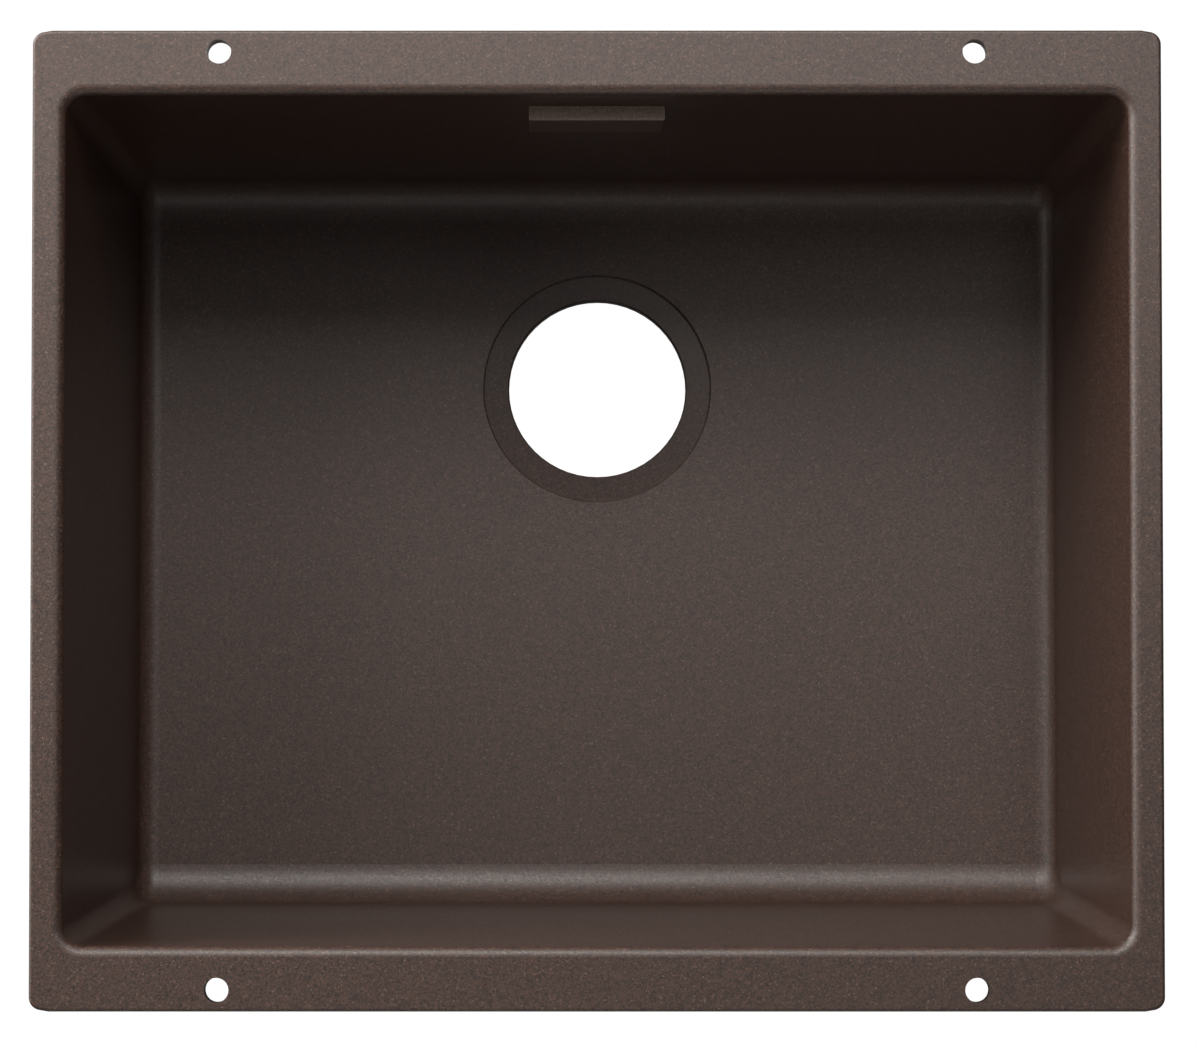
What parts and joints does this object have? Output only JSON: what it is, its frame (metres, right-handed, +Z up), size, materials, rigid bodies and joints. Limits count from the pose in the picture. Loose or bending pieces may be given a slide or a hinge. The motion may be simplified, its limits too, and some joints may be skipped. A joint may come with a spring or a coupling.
{
  "type": "undermount kitchen sink",
  "caption": "Rectangular undermount kitchen sink bowl in brown granite composite, with a drilled flange, a drain hole and a pull-off overflow cover over a housing behind the back wall.",
  "frame": {"origin": "middle of the four flange holes, on the flange's top face, which meets the worktop's underside", "axes": "+X right along the long side, +Y towards the back wall with the overflow, +Z up out of the bowl"},
  "size_m": [0.53, 0.46, 0.202],
  "materials": {
    "granite_composite": "matt, fine grain",
    "cover_plastic": "matt",
    "black_plastic": "satin",
    "black_rubber": "matt",
    "stainless_steel": "turned"
  },
  "bodies": {
    "sink": {"bowl": "granite_composite", "overflow_frame": "black_plastic", "inner_seal": "black_rubber", "outer_gasket": "black_rubber", "overflow_housing": "black_plastic", "frame_screws": "stainless_steel"},
    "cover": {"overflow_cover": "cover_plastic"},
    "washer": {"outlet_washer": "black_rubber"},
    "nut": {"outlet_nut": "black_plastic"}
  },
  "joints": [
    {"name": "cover_pull", "type": "slide", "parent": "sink", "child": "cover", "axis": [0, -0.9951, 0.0993], "range_m": [0, 0.025]},
    {"name": "outlet_drop", "type": "slide", "parent": "sink", "child": "washer", "axis": [0, -0.0993, -0.9951], "range_m": [0, 0.0121]},
    {"name": "outlet_unscrew", "type": "hinge", "parent": "washer", "child": "nut", "pos_m": [0, 0.21274, -0.0939], "axis": [0, -0.0993, -0.9951], "range_deg": [0, 2160]}
  ],
  "couplings": [
    {"joint": "outlet_drop", "follows": "outlet_unscrew", "m_per_rad": 0.00031831}
  ]
}
